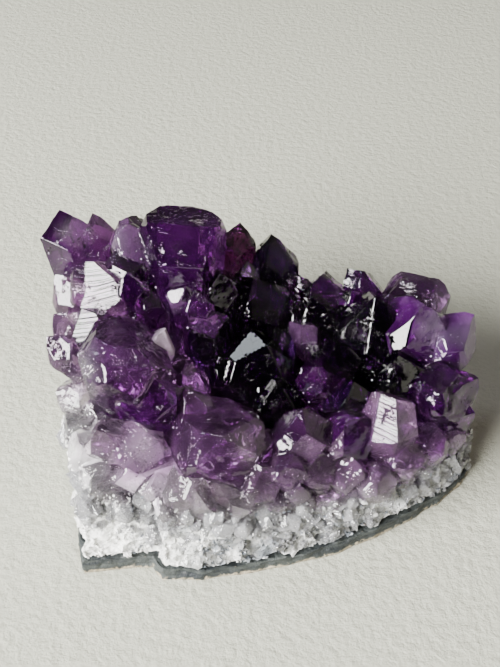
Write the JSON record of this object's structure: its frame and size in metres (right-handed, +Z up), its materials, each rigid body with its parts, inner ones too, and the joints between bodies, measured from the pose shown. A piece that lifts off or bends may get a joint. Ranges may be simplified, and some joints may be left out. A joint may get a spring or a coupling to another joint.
{
  "type": "amethyst cluster",
  "caption": "Broken slab of geode wall: thin grey rind below, white granular quartz, and a crowded bed of purple amethyst points above, highest at one back corner.",
  "frame": {"origin": "centre of the bounding box in X and Y, on the flat underside of the rind", "axes": "+X along the long side from the tall end to the low end, +Y away from the broken front edge, +Z up from the resting face"},
  "size_m": [0.0884, 0.0616, 0.0498],
  "materials": {
    "rock": "rough, banded grey-green basalt skin",
    "milky": "granular, sparkling white quartz",
    "amethyst": "natural crystal faces, clear to cloudy purple"
  },
  "bodies": {
    "root": {"rock_rind": "rock", "milky_quartz": "milky", "amethyst_crystals": "amethyst"}
  },
  "joints": []
}
